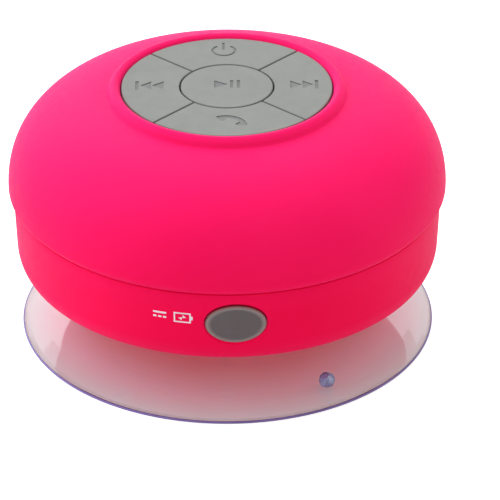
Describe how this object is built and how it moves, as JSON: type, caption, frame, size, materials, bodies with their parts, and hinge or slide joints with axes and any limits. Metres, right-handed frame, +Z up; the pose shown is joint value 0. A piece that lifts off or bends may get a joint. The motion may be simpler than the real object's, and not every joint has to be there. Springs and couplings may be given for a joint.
{
  "type": "shower speaker",
  "caption": "Round splash-proof wireless speaker with a rubber-coated dome, a round keypad on top, a plugged charging socket and a clear suction cup underneath.",
  "frame": {"origin": "centre of the suction cup's rim plane, where the speaker stands", "axes": "+Z up the speaker's axis and out of the keypad, -Y towards the charging socket, +X towards the next-track key"},
  "size_m": [0.086, 0.086, 0.052],
  "materials": {
    "pink_coat": "soft-touch rubber coat on moulded plastic",
    "key_rubber": "matt moulded silicone rubber",
    "plug_rubber": "matt moulded rubber",
    "clear_vinyl": "clear glossy soft vinyl",
    "dark_plastic": "fine moulded texture",
    "black_plastic": "moulded",
    "seal_rubber": "matt",
    "board": "green solder mask",
    "steel": "stamped, zinc plated",
    "plated_metal": "bright plating",
    "ferrite": "sintered ferrite",
    "cone_paper": "black treated cone",
    "spider_cloth": "resin-stiffened cloth",
    "copper": "enamelled copper winding",
    "foam": "closed-cell foam",
    "battery_foil": "pouch foil",
    "lead_red": "insulation",
    "lead_black": "insulation"
  },
  "bodies": {
    "case": {"upper_shell": "pink_coat", "lower_shell": "pink_coat", "seam_gasket": "seal_rubber", "base_plate": "pink_coat", "keypad_web": "key_rubber", "keypad_frame": "dark_plastic", "main_board": "board", "radio_module": "plated_metal", "amplifier_chip": "black_plastic", "capacitor": "plated_metal", "microphone": "plated_metal", "battery_tape": "foam", "battery_cell": "battery_foil", "charging_socket": "black_plastic", "socket_pin": "plated_metal", "charging_board": "board", "driver_gasket": "foam", "driver_basket": "steel", "driver_surround": "seal_rubber", "driver_spider": "spider_cloth", "driver_top_plate": "steel", "driver_magnet": "ferrite", "driver_yoke": "steel", "power_switch": "black_plastic", "previous_switch": "black_plastic", "next_switch": "black_plastic", "play_pause_switch": "black_plastic", "phone_switch": "black_plastic", "case_screw_1": "plated_metal", "case_screw_2": "plated_metal", "case_screw_3": "plated_metal", "case_screw_4": "plated_metal", "base_screw_1": "plated_metal", "base_screw_2": "plated_metal", "base_screw_3": "plated_metal", "base_screw_4": "plated_metal", "board_screw_1": "plated_metal", "board_screw_2": "plated_metal", "board_screw_3": "plated_metal", "battery_lead_red": "lead_red", "battery_lead_black": "lead_black", "speaker_lead_red": "lead_red", "speaker_lead_black": "lead_black", "charging_lead_red": "lead_red", "charging_lead_black": "lead_black"},
    "power_button": {"power_key": "key_rubber", "power_plunger": "black_plastic"},
    "previous_button": {"previous_key": "key_rubber", "previous_plunger": "black_plastic"},
    "next_button": {"next_key": "key_rubber", "next_plunger": "black_plastic"},
    "play_pause_button": {"play_pause_key": "key_rubber", "play_pause_plunger": "black_plastic"},
    "phone_button": {"phone_key": "key_rubber", "phone_plunger": "black_plastic"},
    "plug": {"port_plug": "plug_rubber"},
    "cone": {"driver_cone": "cone_paper", "dust_cap": "cone_paper", "voice_coil": "copper"},
    "cup": {"suction_cup": "clear_vinyl"}
  },
  "joints": [
    {"name": "power_press", "type": "slide", "parent": "case", "child": "power_button", "axis": [0, 0, -1], "range_m": [0, 0.0006], "stiffness_N_per_m": 1500},
    {"name": "previous_press", "type": "slide", "parent": "case", "child": "previous_button", "axis": [0, 0, -1], "range_m": [0, 0.0006], "stiffness_N_per_m": 1500},
    {"name": "next_press", "type": "slide", "parent": "case", "child": "next_button", "axis": [0, 0, -1], "range_m": [0, 0.0006], "stiffness_N_per_m": 1500},
    {"name": "play_pause_press", "type": "slide", "parent": "case", "child": "play_pause_button", "axis": [0, 0, -1], "range_m": [0, 0.0006], "stiffness_N_per_m": 1500},
    {"name": "phone_press", "type": "slide", "parent": "case", "child": "phone_button", "axis": [0, 0, -1], "range_m": [0, 0.0006], "stiffness_N_per_m": 1500},
    {"name": "plug_pull", "type": "slide", "parent": "case", "child": "plug", "axis": [0, -1, 0], "range_m": [0, 0.0048]},
    {"name": "cone_stroke", "type": "slide", "parent": "case", "child": "cone", "axis": [0, 0, 1], "range_m": [-0.0008, 0.0008], "stiffness_N_per_m": 1000},
    {"name": "cup_swivel", "type": "hinge", "parent": "case", "child": "cup", "pos_m": [0, 0, 0.0166], "axis": [0, 0, 1], "continuous": true}
  ]
}
